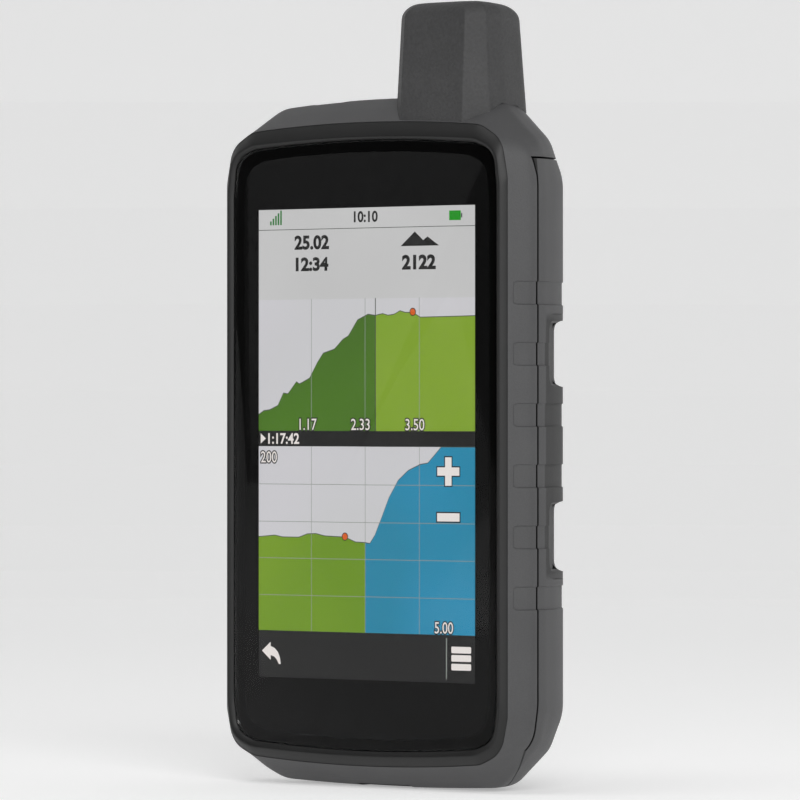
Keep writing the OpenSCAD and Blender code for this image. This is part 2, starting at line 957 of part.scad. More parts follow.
module latch_o_ring() {
    color("#1c1c1c")
        translate([0, 12.35, latch_z])
            rotate([90, 0, 0])
                rotate_extrude()
                    translate([latch_shaft_r + 0.65, 0])
                        circle(0.53, $fn = 24);
}

module latch_clip() {
    color("#b8bbbf")
        difference() {
            rod_y(0, latch_z, 4.6, 10.9, 11.4);
            rod_y(0, latch_z, latch_shaft_r - 0.55, 10, 12);
            block(-1.6, 1.6, 10, 12, latch_z - 6, latch_z);
        }
}

module latch_screw() {
    color("#9a9da1") {
        rod_y(0, latch_z, 1.7, 3.1, 3.6);
        rod_y(0, latch_z, 0.82, 3.5, 9);
    }
}

// Two-armed keeper spring over the cam
module latch_spring() {
    color("#c5c8cc")
        for (z = [-spring_z, spring_z])
            translate([-6.6, 6.2, latch_z + z])
                rotate([0, 90, 0])
                    cylinder(r = 0.6, h = 13.2);
}

module d_ring() {
    color("#595b5e") {
        plate(ring_y - ring_t / 2, ring_y + ring_t / 2)
            translate([0, latch_z])
                difference() {
                    circle(ring_out_r);
                    circle(ring_in_r);
                    translate([-20, 0])
                        square([40, 20]);
                }
        translate([-7.4, ring_y, latch_z])
            rotate([0, 90, 0])
                cylinder(r = ring_bar_r, h = 14.8);
    }
}

touch_glass();
touch_sensor();
display_panel();
display_backlight();
glass_gasket();
bezel();
front_housing();
antenna_cover();
antenna_core();
antenna_windings();
antenna_board();
antenna_seal();
antenna_coax();
midframe();
main_board();
shield_cans();
board_chips();
board_screws();
display_flex();
power_button();
power_button_seal();
power_switch();
usb_board();
usb_port();
usb_cap();
usb_cap_anchor();
mcx_jack();
mcx_insulator();
mcx_contact();
mcx_coax();
mcx_cap();
mcx_cap_anchor();
sd_card_slot();
micro_sd_card();
pressure_vent();
piezo_buzzer();
battery_contact_block();
battery_contact_pins();
battery_pack();
battery_terminals();
battery_pads();
rear_housing();
housing_seal();
case_screws();
battery_cover();
battery_cover_seal();
latch_shaft();
latch_cam();
latch_o_ring();
latch_clip();
latch_screw();
latch_spring();
d_ring();
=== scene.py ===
"""Looks of the handheld GPS unit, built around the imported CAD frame."""
import json
import math

import bmesh
import bpy
import numpy as np
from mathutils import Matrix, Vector


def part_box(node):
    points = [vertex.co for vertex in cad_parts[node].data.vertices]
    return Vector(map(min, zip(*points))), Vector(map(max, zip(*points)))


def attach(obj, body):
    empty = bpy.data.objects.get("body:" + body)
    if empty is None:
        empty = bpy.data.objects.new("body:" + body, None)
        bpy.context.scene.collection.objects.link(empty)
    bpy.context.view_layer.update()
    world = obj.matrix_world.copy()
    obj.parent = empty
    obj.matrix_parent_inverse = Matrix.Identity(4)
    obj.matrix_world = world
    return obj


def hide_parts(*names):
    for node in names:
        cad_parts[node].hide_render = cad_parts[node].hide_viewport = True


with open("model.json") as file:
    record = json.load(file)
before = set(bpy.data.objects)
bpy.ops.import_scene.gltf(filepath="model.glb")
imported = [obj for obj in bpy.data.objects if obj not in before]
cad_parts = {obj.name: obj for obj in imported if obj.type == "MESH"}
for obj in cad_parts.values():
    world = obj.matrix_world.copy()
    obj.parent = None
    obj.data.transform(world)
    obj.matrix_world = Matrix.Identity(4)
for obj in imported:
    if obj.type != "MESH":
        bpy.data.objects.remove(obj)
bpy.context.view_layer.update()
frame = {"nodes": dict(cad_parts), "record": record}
MM = 0.001
SCENE = bpy.context.scene

# ------------------------------------------------------------------ dimensions, mm
GLASS_LOW, GLASS_HIGH = (np.array(c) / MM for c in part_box("touch_glass"))
Y_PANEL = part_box("display_panel")[0].y / MM
Y_BEZEL_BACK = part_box("bezel")[1].y / MM
Y_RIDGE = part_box("bezel")[0].y / MM
Y_GLASS = GLASS_LOW[1]
Y_BEZEL = -15.25
GLASS_SEAT_BACK = -14.35
DISPLAY_W, DISPLAY_H, DISPLAY_Z = 65.3, 108.9, 79.4
# From the lower and upper corner to the straight side, and the rounding into it
SIDE_RISE, SIDE_DROP, SIDE_ROUND = 8.0, 8.5, 20.0
STRAIGHT_LOW, STRAIGHT_HIGH = 32.0, 129.0
# The seam is 0.25 mm wide in the CAD source and drawn wider here, so that it shows
SEAM = 0.25 + 0.2
WALL, COVER_WALL = 1.8, 1.9
GRIP_COUNT, GRIP_PITCH, GRIP_H, GRIP_DEPTH = 6, 13.86, 5.2, 0.35
GRIP_FRONT, GRIP_BACK, GRIP_CORNER = -14.2, 15.2, 0.9
# How far the grips lie below the display's middle, how soft their edge is, and how far
# in from the widest point they reach
GRIP_SHIFT, GRIP_EDGE, GRIP_REACH = 0.3, 0.2, 1.2
# Rounding of a notch's ends along z, its share in depth, and the wall beside a notch
NOTCH_ROUND, NOTCH_SPREAD, NOTCH_WALL = 2.6, 1.25, 1.2
RAIL_Z = (48.6, 109.2)
NOTCHES = ((50.2, 66.3), (92.5, 107.7))
# Notches and rail recess in section, (x, y)
NOTCH_LIP, NOTCH_MOUTH = (44.4, -3.2), 52
NOTCH_FLOOR = [(44.6, -2.9), (42.3, -1.4), (39.2, 5.0), (35.9, 9.0), (33.0, 12.5),
               (30.9, 15.2), (30.4, 17)]
NOTCH_BACK = [(29.9, 14.4), (31.9, 11.8), (34.9, 8.1), (38.0, 4.4), (41.1, -2.2),
              (43.4, -4.4)]
RAIL_FLOOR = [(46.3, -6.0), (45.2, -5.2), (43.8, -0.5), (41.8, 4.7), (39.3, 8.9)]
RAIL_MOUTH = [(50, 8.9), (50, -6.0)]
RAIL_FACE = (4.0, 20.0, 4.8)  # middle in y, depth in y and corner radius of its outline

# Corners of the case outline: largest radius, room kept beside it, and the widest
# slanted side that still gets the full rounding into the straight one
CORNER_ROUND, CORNER_ROOM, SLANT = 8, 1.3, 1.5

# Rounding of the profile's ridges: sigma at the front and at the side, where the one
# passes into the other, and the step and margin it is worked out with
SOFT_FRONT, SOFT_SIDE = 0.8, 1.5
SOFT_START, SOFT_LENGTH = -5.5, 4.0
SOFT_STEP, SOFT_MARGIN = 0.05, 6

# Limits well outside the case, for cutters that pass right through it
BEYOND, FORE, AFT, BELOW, ABOVE = 60, -20, 20, -5, 190
LID = (150, 170)  # heights that a cutter through the top wall runs between

# Depths at which the fine case form is drawn, closest together where its side bends
FINE_STATIONS = np.concatenate([
    np.linspace(Y_BEZEL, -13.6, 6), np.linspace(-13.3, 8.6, 74),
    np.linspace(9.2, 16.0, 12), [16.3, 16.6]])

# Hollows and openings of the two shells
HOLLOW_BACK, FRONT_INSIDE = 14.7, -12.4
SHELF_Y, SHELF_Z = -7.5, (143.5, 146.3)
WINDOW_HALF, WINDOW_Y, WINDOW_Z = 35.75, (-16, -11), (20.25, 138.55)
CUP_R, CUP_Y = 10.8, (11.9, 15.0)
WELL_R, WELL_FLOOR = 9.2, 13.4
SHAFT_HOLE_R, SHAFT_HOLE_Y = 3.05, 5
JACK_BOSS_X, JACK_BOSS_Y, JACK_BOSS_Z = (-11.5, 9), (12, 15.5), (145.6, 152.0)
JACK_RECESS, JACK_RECESS_SHIFT, JACK_RECESS_FLOOR = (15.6, 6, 2.9), 3.6, 15.1
JACK_HOLE_R, JACK_HOLE_Y = 2.25, (10, 16)
BUTTON_HOLE = (12.6, 6.0, 2.9)
USB_RECESS_X, USB_RECESS_HALF, USB_RECESS_Z = (-8.8, 6.9), 2.35, (-1, 1.65)
ANTENNA_HOLE_R, ANTENNA_HOLE_Y = 7.2, -3.0

# Places read from the CAD nodes
LATCH_Z = (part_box("latch_shaft")[0].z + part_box("latch_shaft")[1].z) / 2 / MM
jack_low, jack_high = (np.array(c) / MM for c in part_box("mcx_contact"))
MCX = ((jack_low[0] + jack_high[0]) / 2, (jack_low[2] + jack_high[2]) / 2)
key_low, key_high = (np.array(c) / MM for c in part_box("power_button_seal"))
BUTTON = ((key_low[0] + key_high[0]) / 2, (key_low[1] + key_high[1]) / 2)
port_low, port_high = (np.array(c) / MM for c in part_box("usb_port"))
USB_Y = (port_low[1] + port_high[1]) / 2
core_low, core_high = (np.array(c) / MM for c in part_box("antenna_core"))
ANTENNA_X = (core_low[0] + core_high[0]) / 2
ANTENNA_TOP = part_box("antenna_cover")[1].z / MM

# Sections: y, half width, top, bottom, top corner, bottom corner, as in the CAD source
BEZEL_FORM = (Y_BEZEL, 42.35, 153.6, 5.05, 1.7, 5.0, 7.85, 1.45, 1.8, 4.2, 8.05, 1.4)
CASE_FORMS = np.array([
    BEZEL_FORM,
    (-10.7, 46.1, 156.9, 2.0, 0.75, 10.4, 12.35, 1.8, 1.15, 10.3, 12.35, 1.0),
    (-6.35, 46.1, 159.4, 0.0, 0.95, 12.0, 12.85, 1.5, 1.35, 11.4, 12.85, 0.8),
    (-0.5, 44.7, 159.4, 0.0, 1.9, 10.9, 12.6, 1.5, 2.4, 10.3, 13.1, 0.8),
    (5.0, 42.35, 158.6, 0.0, 3.7, 9.7, 12.6, 1.5, 3.7, 9.3, 13.6, 0.8),
    (9.3, 38.8, 157.6, 1.2, 4.4, 9.5, 12.6, 1.5, 4.4, 9.3, 13.6, 0.8),
    (13.6, 34.3, 155.8, 4.6, 4.4, 9.5, 12.6, 1.5, 4.4, 9.3, 13.6, 0.8),
    (16.6, 30.2, 153.3, 8.5, 4.4, 9.5, 12.6, 1.5, 4.4, 9.3, 13.6, 0.8)])
GLASS_FORM = (Y_GLASS, 39.5, 149.3, 8.75, 0.9, 3.4, 6.3, 1.4, 1.0, 3.4, 6.3, 1.4)
RIDGE_FORM = (Y_RIDGE, 40.85, 150.2, 7.4, 1.1, 3.8, 7.0, 1.2, 1.2, 3.6, 7.0, 1.2)
# Region of the battery cover as seen from the side, (y, z)
COVER_SIDE = ((-9.8, 144.3), (-8.8, 140.5), (-8.8, 10), (-3.4, 2.2), (0.6, -0.7),
              (20, -0.7), (20, 144.3))


# ------------------------------------------------------------------ outlines
def unit(v):
    """Vector of length 1 along v."""
    return v / np.linalg.norm(v)


def corner_arc(before, p, after, r, n):
    """Points of the arc that rounds the corner p."""
    a, b = unit(before - p), unit(after - p)
    half = math.acos(max(-1.0, min(1.0, float(a @ b)))) / 2
    centre = p + unit(a + b) * r / math.sin(half)
    start = p + a * r / math.tan(half) - centre
    end = p + b * r / math.tan(half) - centre
    a0 = math.atan2(start[1], start[0])
    turn = math.atan2(end[1], end[0]) - a0
    turn = (turn + math.pi) % (2 * math.pi) - math.pi
    angles = a0 + turn * np.linspace(0, 1, n + 1)
    return centre + r * np.stack([np.cos(angles), np.sin(angles)], axis=1)


def rounded(points, n=12):
    """Rounds a closed outline given as (x, z, corner radius)."""
    out = []
    for i, (x, z, r) in enumerate(points):
        p = np.array((x, z), float)
        if r == 0:
            out.append(p[None])
            continue
        before = np.array(points[i - 1][:2], float)
        after = np.array(points[(i + 1) % len(points)][:2], float)
        out.append(corner_arc(before, p, after, r, n))
    return np.concatenate(out)


def side_heights(fine):
    """Heights along the straight side, closer together at the ends of the grip grooves."""
    marks = set(np.linspace(STRAIGHT_LOW, STRAIGHT_HIGH, 60 if fine else 12))
    if fine:
        for low, high in grip_spans():
            for edge in (low, high):
                marks |= set(edge + np.array((-0.7, -0.35, -0.12, 0.0, 0.12, 0.35, 0.7)))
    return sorted(marks)


def grip_spans():
    """Lower and upper end of each grip groove."""
    low = DISPLAY_Z - GRIP_SHIFT - (GRIP_COUNT - 1) * GRIP_PITCH / 2 - GRIP_H / 2
    return [(low + i * GRIP_PITCH, low + i * GRIP_PITCH + GRIP_H) for i in range(GRIP_COUNT)]


def outline(form, inset=0.0, fine=False):
    """Case outline of one form, counter-clockwise in (x, z), drawn in by inset."""
    _, w, top, low = form[:4]
    w, top, low = w - inset, top - inset, low + inset
    t, b = form[4:8], form[8:12]
    along = np.linspace(-1, 1, 17)[1:-1]
    bottom = [(s * (w - b[2]), low + b[3] * s * s, 0) for s in along]
    lid = [(-s * (w - t[2]), top - t[3] * s * s, 0) for s in along]
    side = [(w, z, 0) for z in side_heights(fine)]
    round_low = SIDE_ROUND if b[0] < SLANT else SIDE_ROUND / 2
    round_top = SIDE_ROUND if t[0] < SLANT else SIDE_ROUND / 2
    right = [(w - b[2], low + b[3], CORNER_ROUND),
             (w - b[0], low + b[1], min(CORNER_ROUND, b[2] - CORNER_ROOM)),
             (w, low + b[1] + SIDE_RISE, round_low)]
    right += side + [(w, top - t[1] - SIDE_DROP, round_top),
                     (w - t[0], top - t[1], min(CORNER_ROUND, t[2] - CORNER_ROOM)),
                     (w - t[2], top - t[3], CORNER_ROUND)]
    left = [(-x, z, r) for x, z, r in reversed(right)]
    return rounded(bottom + right + lid + left)


def at_depth(points, y):
    """Outline points as 3D points at depth y."""
    return np.stack([points[:, 0], np.full(len(points), float(y)), points[:, 1]], axis=1)


def smooth_forms(stations):
    """Section values at the given depths, with the profile's ridges rounded."""
    y = np.arange(CASE_FORMS[0, 0] - SOFT_MARGIN, CASE_FORMS[-1, 0] + SOFT_MARGIN, SOFT_STEP)
    table = []
    for column in range(1, CASE_FORMS.shape[1]):
        values = np.interp(y, CASE_FORMS[:, 0], CASE_FORMS[:, column])
        for end, near in ((0, 1), (-1, -2)):
            slope = (CASE_FORMS[end, column] - CASE_FORMS[near, column]) / (
                CASE_FORMS[end, 0] - CASE_FORMS[near, 0])
            beyond = y < CASE_FORMS[0, 0] if end == 0 else y > CASE_FORMS[-1, 0]
            values[beyond] = CASE_FORMS[end, column] + slope * (y[beyond] - CASE_FORMS[end, 0])
        soft = {}
        for sigma in (SOFT_FRONT, SOFT_SIDE):
            half = int(4 * sigma / SOFT_STEP)
            kernel = np.exp(-0.5 * (np.arange(-half, half + 1) * SOFT_STEP / sigma) ** 2)
            padded = np.pad(values, half, mode="edge")
            soft[sigma] = np.convolve(padded, kernel / kernel.sum(), mode="valid")
        share = np.clip((y - SOFT_START) / SOFT_LENGTH, 0, 1)
        mixed = soft[SOFT_FRONT] * (1 - share) + soft[SOFT_SIDE] * share
        table.append(np.interp(stations, y, mixed))
    return [np.concatenate([[s], [c[i] for c in table]]) for i, s in enumerate(stations)]


# ------------------------------------------------------------------ mesh helpers
def new_object(name, verts, faces):
    """Mesh object from points in mm."""
    mesh = bpy.data.meshes.new(name)
    mesh.from_pydata([tuple(v) for v in np.asarray(verts) * MM], [], faces)
    mesh.update()
    obj = bpy.data.objects.new(name, mesh)
    SCENE.collection.objects.link(obj)
    return obj


def loft(name, rings):
    """Closed solid through rings that run counter-clockwise as the front sees them."""
    n = len(rings[0])
    faces = [list(range(n))]
    for k in range(len(rings) - 1):
        for i in range(n):
            j = (i + 1) % n
            faces.append((k * n + i, (k + 1) * n + i, (k + 1) * n + j, k * n + j))
    last = (len(rings) - 1) * n
    faces.append([last + i for i in range(n - 1, -1, -1)])
    obj = new_object(name, np.concatenate(rings), faces)
    fix_normals(obj)
    return obj


def prism(name, points, low, high, axis):
    """Closed prism of 2D points, extruded along axis 0 (x), 1 (y) or 2 (z)."""
    others = [a for a in range(3) if a != axis]
    rings = []
    for at in (low, high):
        ring = np.zeros((len(points), 3))
        ring[:, others] = points
        ring[:, axis] = at
        rings.append(ring)
    return loft(name, rings)


def fix_normals(obj):
    """Turns every face outwards."""
    bm = bmesh.new()
    bm.from_mesh(obj.data)
    bmesh.ops.recalc_face_normals(bm, faces=bm.faces)
    bm.to_mesh(obj.data)
    bm.free()


def box(name, low, high):
    """Closed box between two corners."""
    x0, y0, z0 = low
    x1, y1, z1 = high
    return prism(name, [(x0, y0), (x1, y0), (x1, y1), (x0, y1)], z0, z1, 2)


def cylinder(name, centre, radius, low, high, axis=1):
    """Closed cylinder along an axis; centre is given in the two other axes."""
    turn = np.linspace(0, 2 * math.pi, 96, endpoint=False)
    points = np.stack([centre[0] + radius * np.cos(turn),
                       centre[1] + radius * np.sin(turn)], axis=1)
    return prism(name, points, low, high, axis)


def round_rect(cx, cz, w, h, r):
    """Outline of a rectangle with rounded corners, from its middle and size."""
    return rounded([(cx + w / 2, cz - h / 2, r), (cx + w / 2, cz + h / 2, r),
                    (cx - w / 2, cz + h / 2, r), (cx - w / 2, cz - h / 2, r)], 8)


def boolean(obj, cutters, operation="DIFFERENCE"):
    """Applies one boolean for each cutter and deletes the cutters."""
    for cutter in cutters:
        modifier = obj.modifiers.new("cut", "BOOLEAN")
        modifier.operation = operation
        modifier.solver = "MANIFOLD"
        modifier.object = cutter
        apply_modifiers(obj)
        bpy.data.objects.remove(cutter)


def apply_modifiers(obj):
    """Replaces the mesh by what its modifiers make of it."""
    bpy.context.view_layer.update()
    graph = bpy.context.evaluated_depsgraph_get()
    mesh = bpy.data.meshes.new_from_object(obj.evaluated_get(graph))
    obj.modifiers.clear()
    obj.data = mesh


def soften(obj, angle):
    """Smooth shading with sharp edges above an angle."""
    mesh = obj.data
    mesh.polygons.foreach_set("use_smooth", np.ones(len(mesh.polygons), bool))
    mesh.set_sharp_from_angle(angle=math.radians(angle))
    return obj


def bevel(obj, width, angle):
    """Rounds the edges that are sharper than angle."""
    modifier = obj.modifiers.new("bevel", "BEVEL")
    modifier.width = width * MM
    modifier.segments = 3
    modifier.limit_method = "ANGLE"
    modifier.angle_limit = math.radians(angle)
    modifier.use_clamp_overlap = True
    apply_modifiers(obj)


def join(name, objects):
    """One mesh object from several."""
    bm = bmesh.new()
    for obj in objects:
        bm.from_mesh(obj.data)
        bpy.data.objects.remove(obj)
    mesh = bpy.data.meshes.new(name)
    bm.to_mesh(mesh)
    bm.free()
    joined = bpy.data.objects.new(name, mesh)
    SCENE.collection.objects.link(joined)
    return joined


def finish_piece(obj, look, body, slot, *replaced):
    """Gives a piece its material and body, and hides the CAD nodes that it replaces; slot is not used."""
    obj.data.materials.clear()
    obj.data.materials.append(look)
    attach(obj, body)
    if replaced:
        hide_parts(*replaced)


# ------------------------------------------------------------------ materials
def material(name, colour, roughness, **sockets):
    """Principled material; returns it with its node tree, shader and an mm coordinate."""
    m = bpy.data.materials.new(name)
    m.use_nodes = True
    tree = m.node_tree
    shader = tree.nodes["Principled BSDF"]
    shader.inputs["Base Color"].default_value = (*colour, 1)
    shader.inputs["Roughness"].default_value = roughness
    for socket, value in sockets.items():
        shader.inputs[socket.replace("_", " ")].default_value = value
    coordinate = tree.nodes.new("ShaderNodeTexCoord")
    scale = tree.nodes.new("ShaderNodeVectorMath")
    scale.operation = "SCALE"
    scale.inputs["Scale"].default_value = 1 / MM
    tree.links.new(coordinate.outputs["Object"], scale.inputs[0])
    return m, tree, shader, scale.outputs["Vector"]


def noise(tree, where, size, detail=2.0, roughness=0.5):
    """Noise whose features are about size mm across."""
    node = tree.nodes.new("ShaderNodeTexNoise")
    node.inputs["Scale"].default_value = 1 / size
    node.inputs["Detail"].default_value = detail
    node.inputs["Roughness"].default_value = roughness
    tree.links.new(where, node.inputs["Vector"])
    return node.outputs["Fac"]


def ramp(tree, value, low, high, colours):
    """Runs from one colour to the other while value goes from low to high."""
    node = tree.nodes.new("ShaderNodeValToRGB")
    node.color_ramp.elements[0].position = low
    node.color_ramp.elements[1].position = high
    node.color_ramp.elements[0].color = (*colours[0], 1)
    node.color_ramp.elements[1].color = (*colours[1], 1)
    tree.links.new(value, node.inputs["Fac"])
    return node.outputs["Color"]


def add_bump(tree, shader, height, distance, strength):
    """Surface relief from a height; distance is in mm."""
    node = tree.nodes.new("ShaderNodeBump")
    node.inputs["Distance"].default_value = distance * MM
    node.inputs["Strength"].default_value = strength
    tree.links.new(height, node.inputs["Height"])
    tree.links.new(node.outputs["Normal"], shader.inputs["Normal"])


def multiply(tree, a, b):
    """Product of two colours."""
    mix = tree.nodes.new("ShaderNodeMix")
    mix.data_type = "RGBA"
    mix.blend_type = "MULTIPLY"
    mix.inputs["Factor"].default_value = 1.0
    tree.links.new(a, mix.inputs["A"])
    tree.links.new(b, mix.inputs["B"])
    return mix.outputs["Result"]


def zone(tree, where, axis, steps):
    """Grey level that runs through (coordinate in mm, level) steps along one axis."""
    split = tree.nodes.new("ShaderNodeSeparateXYZ")
    tree.links.new(where, split.inputs[0])
    spread = tree.nodes.new("ShaderNodeMapRange")
    spread.inputs["From Min"].default_value = steps[0][0]
    spread.inputs["From Max"].default_value = steps[-1][0]
    tree.links.new(split.outputs[axis], spread.inputs["Value"])
    node = tree.nodes.new("ShaderNodeValToRGB")
    stops = node.color_ramp.elements
    for i, (at, level) in enumerate(steps):
        position = (at - steps[0][0]) / (steps[-1][0] - steps[0][0])
        stop = stops[i] if i < 2 else stops.new(position)
        stop.position = position
        stop.color = (level, level, level, 1)
    tree.links.new(spread.outputs["Result"], node.inputs["Fac"])
    return node.outputs["Color"]


def moulded_plastic(name, dark, light, grain, roughness, strength=0.35, wear=0.06,
                    speckle=0.08, shade_zones=()):
    """Moulded plastic: spark-eroded grain, faint blotches and a varied gloss.

    Each zone is painted shade, given as (how much darker, ranges); a range is the axis and steps of zone().
    """
    m, tree, shader, where = material(name, dark, roughness)
    blotch = noise(tree, where, 14.0, 3.0)
    fine = noise(tree, where, grain, 3.0, 0.6)
    low, high = (1 - speckle,) * 3, (1 + speckle,) * 3
    colour = multiply(tree, ramp(tree, blotch, 0.35, 0.7, (dark, light)),
                      ramp(tree, fine, 0.3, 0.7, (low, high)))
    # Painted shade: each zone darkens the colour by its share, which is the product of its ranges
    for darkening, ranges in shade_zones:
        share = zone(tree, where, *ranges[0])
        for more in ranges[1:]:
            share = multiply(tree, share, zone(tree, where, *more))
        darker = ramp(tree, share, 0.0, 1.0, ((1, 1, 1), (1 - darkening,) * 3))
        colour = multiply(tree, colour, darker)
    tree.links.new(colour, shader.inputs["Base Color"])
    rough = tree.nodes.new("ShaderNodeMapRange")
    rough.inputs["To Min"].default_value = roughness - wear
    rough.inputs["To Max"].default_value = roughness + wear
    tree.links.new(fine, rough.inputs["Value"])
    tree.links.new(rough.outputs["Result"], shader.inputs["Roughness"])
    add_bump(tree, shader, fine, grain * 0.25, strength)
    return m


def ink(name, dark, light):
    """Dull print with faint blotches, bonded to the back of the glass."""
    m, tree, shader, where = material(name, dark, 0.9, Specular_IOR_Level=0.0)
    tree.links.new(ramp(tree, noise(tree, where, 3.0), 0.3, 0.7, (dark, light)),
                   shader.inputs["Base Color"])
    return m


def metal(name, colour, roughness, grain):
    """Metal with fine scratches along one direction."""
    m, tree, shader, where = material(name, colour, roughness, Metallic=1.0)
    stretch = tree.nodes.new("ShaderNodeMapping")
    stretch.inputs["Scale"].default_value = (1, 1, 0.08)
    tree.links.new(where, stretch.inputs["Vector"])
    fine = noise(tree, stretch.outputs["Vector"], grain, 4.0)
    rough = tree.nodes.new("ShaderNodeMapRange")
    rough.inputs["To Min"].default_value = roughness - 0.08
    rough.inputs["To Max"].default_value = roughness + 0.12
    tree.links.new(fine, rough.inputs["Value"])
    tree.links.new(rough.outputs["Result"], shader.inputs["Roughness"])
    add_bump(tree, shader, fine, 0.02, 0.25)
    return m


def linear(code):
    """Linear colour of a hexadecimal screen colour."""
    values = [int(code[i:i + 2], 16) / 255 for i in (0, 2, 4)]
    return tuple(v / 12.92 if v <= 0.04045 else ((v + 0.055) / 1.055) ** 2.4 for v in values)


def screen_colour(code, other):
    """Lit display: faint upright bands over a colour that drifts a little."""
    dark, light = (tuple(max(v - GLARE, 0.0) for v in linear(c)) for c in (other or code, code))
    m, tree, shader, where = material("screen_" + code, (0.004, 0.004, 0.004), 0.5)
    drift = noise(tree, where, 40.0, 1.0)
    slow = ramp(tree, drift, 0.35, 0.65, (dark, light))
    bands = tree.nodes.new("ShaderNodeTexWave")
    bands.inputs["Scale"].default_value = BAND_SCALE
    tree.links.new(where, bands.inputs["Vector"])
    level = ramp(tree, bands.outputs["Fac"], 0.0, 1.0, ((0.985,) * 3, (1.0,) * 3))
    tree.links.new(multiply(tree, slow, level), shader.inputs["Emission Color"])
    shader.inputs["Emission Strength"].default_value = SCREEN_GLOW
    return m


SCREEN_GLOW, GLARE = 0.98, 0.02
BAND_SCALE = 1 / 0.136 / 20  # of the wave node, for bands 0.85 mm apart
GREY = (0.069, 0.069, 0.071), (0.076, 0.076, 0.078)
# Painted shade: the cover's front rim is painted black, so that the seam reads dark like the shade in its
# gap
SEAM_SHADE_ZONE = (1.0, [(1, [(-9.0, 1), (-8.68, 1), (-8.62, 0), (20.0, 0)])])
# Painted shade: the floor of the rail recess and its notches is painted darker than the shell round it, in
# place of the shade in the recess
RECESS_SHADE_ZONE = (0.74, [
    (2, [(48.4, 0), (50.2, 1), (107.6, 1), (109.4, 0)]),
    (1, [(-6.2, 0), (-5.2, 1), (2.0, 1), (6.0, 0.88), (9.0, 0.82), (9.6, 0)])])

# Plastics: name, dark and light colour, grain in mm, roughness, relief;
# metals: name, colour, roughness, grain in mm
HOUSING = moulded_plastic("housing_grey", *GREY, 0.35, 0.58, 0.7)
# The cover's plastic carries painted shade on the seam rim and in the rail recess
COVER_SHELL = moulded_plastic("cover_grey_painted_shade", *GREY, 0.35, 0.58, 0.7,
                              shade_zones=[SEAM_SHADE_ZONE, RECESS_SHADE_ZONE])
ANTENNA = moulded_plastic("antenna_grey", (0.043, 0.043, 0.044), (0.053, 0.053, 0.054), 0.7,
                          0.62, 1.0, speckle=0.2)
BEZEL = moulded_plastic("bezel_black", (0.005, 0.005, 0.005), (0.008, 0.008, 0.008), 0.25,
                        0.48, 0.12)
INNER = moulded_plastic("inner_black", (0.022, 0.022, 0.023), (0.03, 0.03, 0.031), 0.4, 0.6)
RUBBER = moulded_plastic("rubber_black", (0.016, 0.016, 0.017), (0.024, 0.024, 0.025), 0.25, 0.78)
LATCH = moulded_plastic("latch_coat", (0.06, 0.06, 0.062), (0.075, 0.075, 0.078), 0.2, 0.42)
PACK = moulded_plastic("pack_case", (0.032, 0.034, 0.037), (0.045, 0.047, 0.05), 0.3, 0.5)
SEAL = moulded_plastic("silicone", (0.27, 0.055, 0.025), (0.32, 0.07, 0.035), 0.8, 0.5, 0.15)
WHITE = moulded_plastic("white_plastic", (0.78, 0.77, 0.73), (0.86, 0.85, 0.81), 0.5, 0.45, 0.15)
FORMER = moulded_plastic("former_ceramic", (0.66, 0.62, 0.52), (0.76, 0.72, 0.62), 0.6, 0.5, 0.2)
BOARD = moulded_plastic("solder_mask", (0.010, 0.085, 0.038), (0.015, 0.12, 0.055), 0.9, 0.3, 0.2)
CHIP = moulded_plastic("chip_package", (0.016, 0.016, 0.018), (0.024, 0.024, 0.027), 0.15, 0.5)
CABLE = moulded_plastic("cable_jacket", (0.2, 0.2, 0.21), (0.27, 0.27, 0.28), 0.4, 0.5)
FLEX = moulded_plastic("polyimide", (0.42, 0.17, 0.02), (0.55, 0.25, 0.04), 0.8, 0.25, 0.1)
STEEL = metal("tinned_steel", (0.62, 0.63, 0.65), 0.32, 0.25)
ALLOY = metal("cast_alloy", (0.55, 0.56, 0.57), 0.45, 0.4)
GOLD = metal("gold_plate", (0.83, 0.6, 0.24), 0.22, 0.2)
COPPER = metal("copper_strip", (0.72, 0.36, 0.2), 0.3, 0.2)

SLOT_MATERIALS = {
    "cover_glass": BEZEL, "sensor_film": INNER, "display": CHIP, "backlight": WHITE,
    "black_foam": RUBBER, "bezel_plastic": BEZEL, "housing_grey": HOUSING,
    "antenna_plastic": ANTENNA, "ceramic_former": FORMER, "copper": COPPER,
    "circuit_board": BOARD, "black_rubber": RUBBER, "cable_grey": CABLE,
    "frame_metal": ALLOY, "tinned_steel": STEEL, "chip_black": CHIP, "screw_steel": STEEL,
    "flex_amber": FLEX, "gold_contact": GOLD, "white_insulator": WHITE,
    "inner_plastic": INNER, "battery_wrap": PACK, "seal_silicone": SEAL,
    "latch_metal": LATCH, "spring_steel": STEEL}

for entry in frame["record"]["subparts"]:
    node = frame["nodes"][entry["node"]]
    node.data.materials.clear()
    node.data.materials.append(SLOT_MATERIALS[entry["material_slot"]])


# ------------------------------------------------------------------ case shells
def grip_depth(y, z):
    """Depth of the grip grooves at a point of the side, with soft edges."""
    depth = np.zeros_like(z)
    cy, half_y = (GRIP_FRONT + GRIP_BACK) / 2, (GRIP_BACK - GRIP_FRONT) / 2
    for low, high in grip_spans():
        dy = np.abs(y - cy) - (half_y - GRIP_CORNER)
        dz = np.abs(z - (low + high) / 2) - ((high - low) / 2 - GRIP_CORNER)
        away = np.hypot(np.maximum(dy, 0), np.maximum(dz, 0)) + np.minimum(np.maximum(dy, dz), 0)
        depth = np.maximum(depth, np.clip((GRIP_CORNER - away) / GRIP_EDGE + 0.5, 0, 1))
    return depth * GRIP_DEPTH


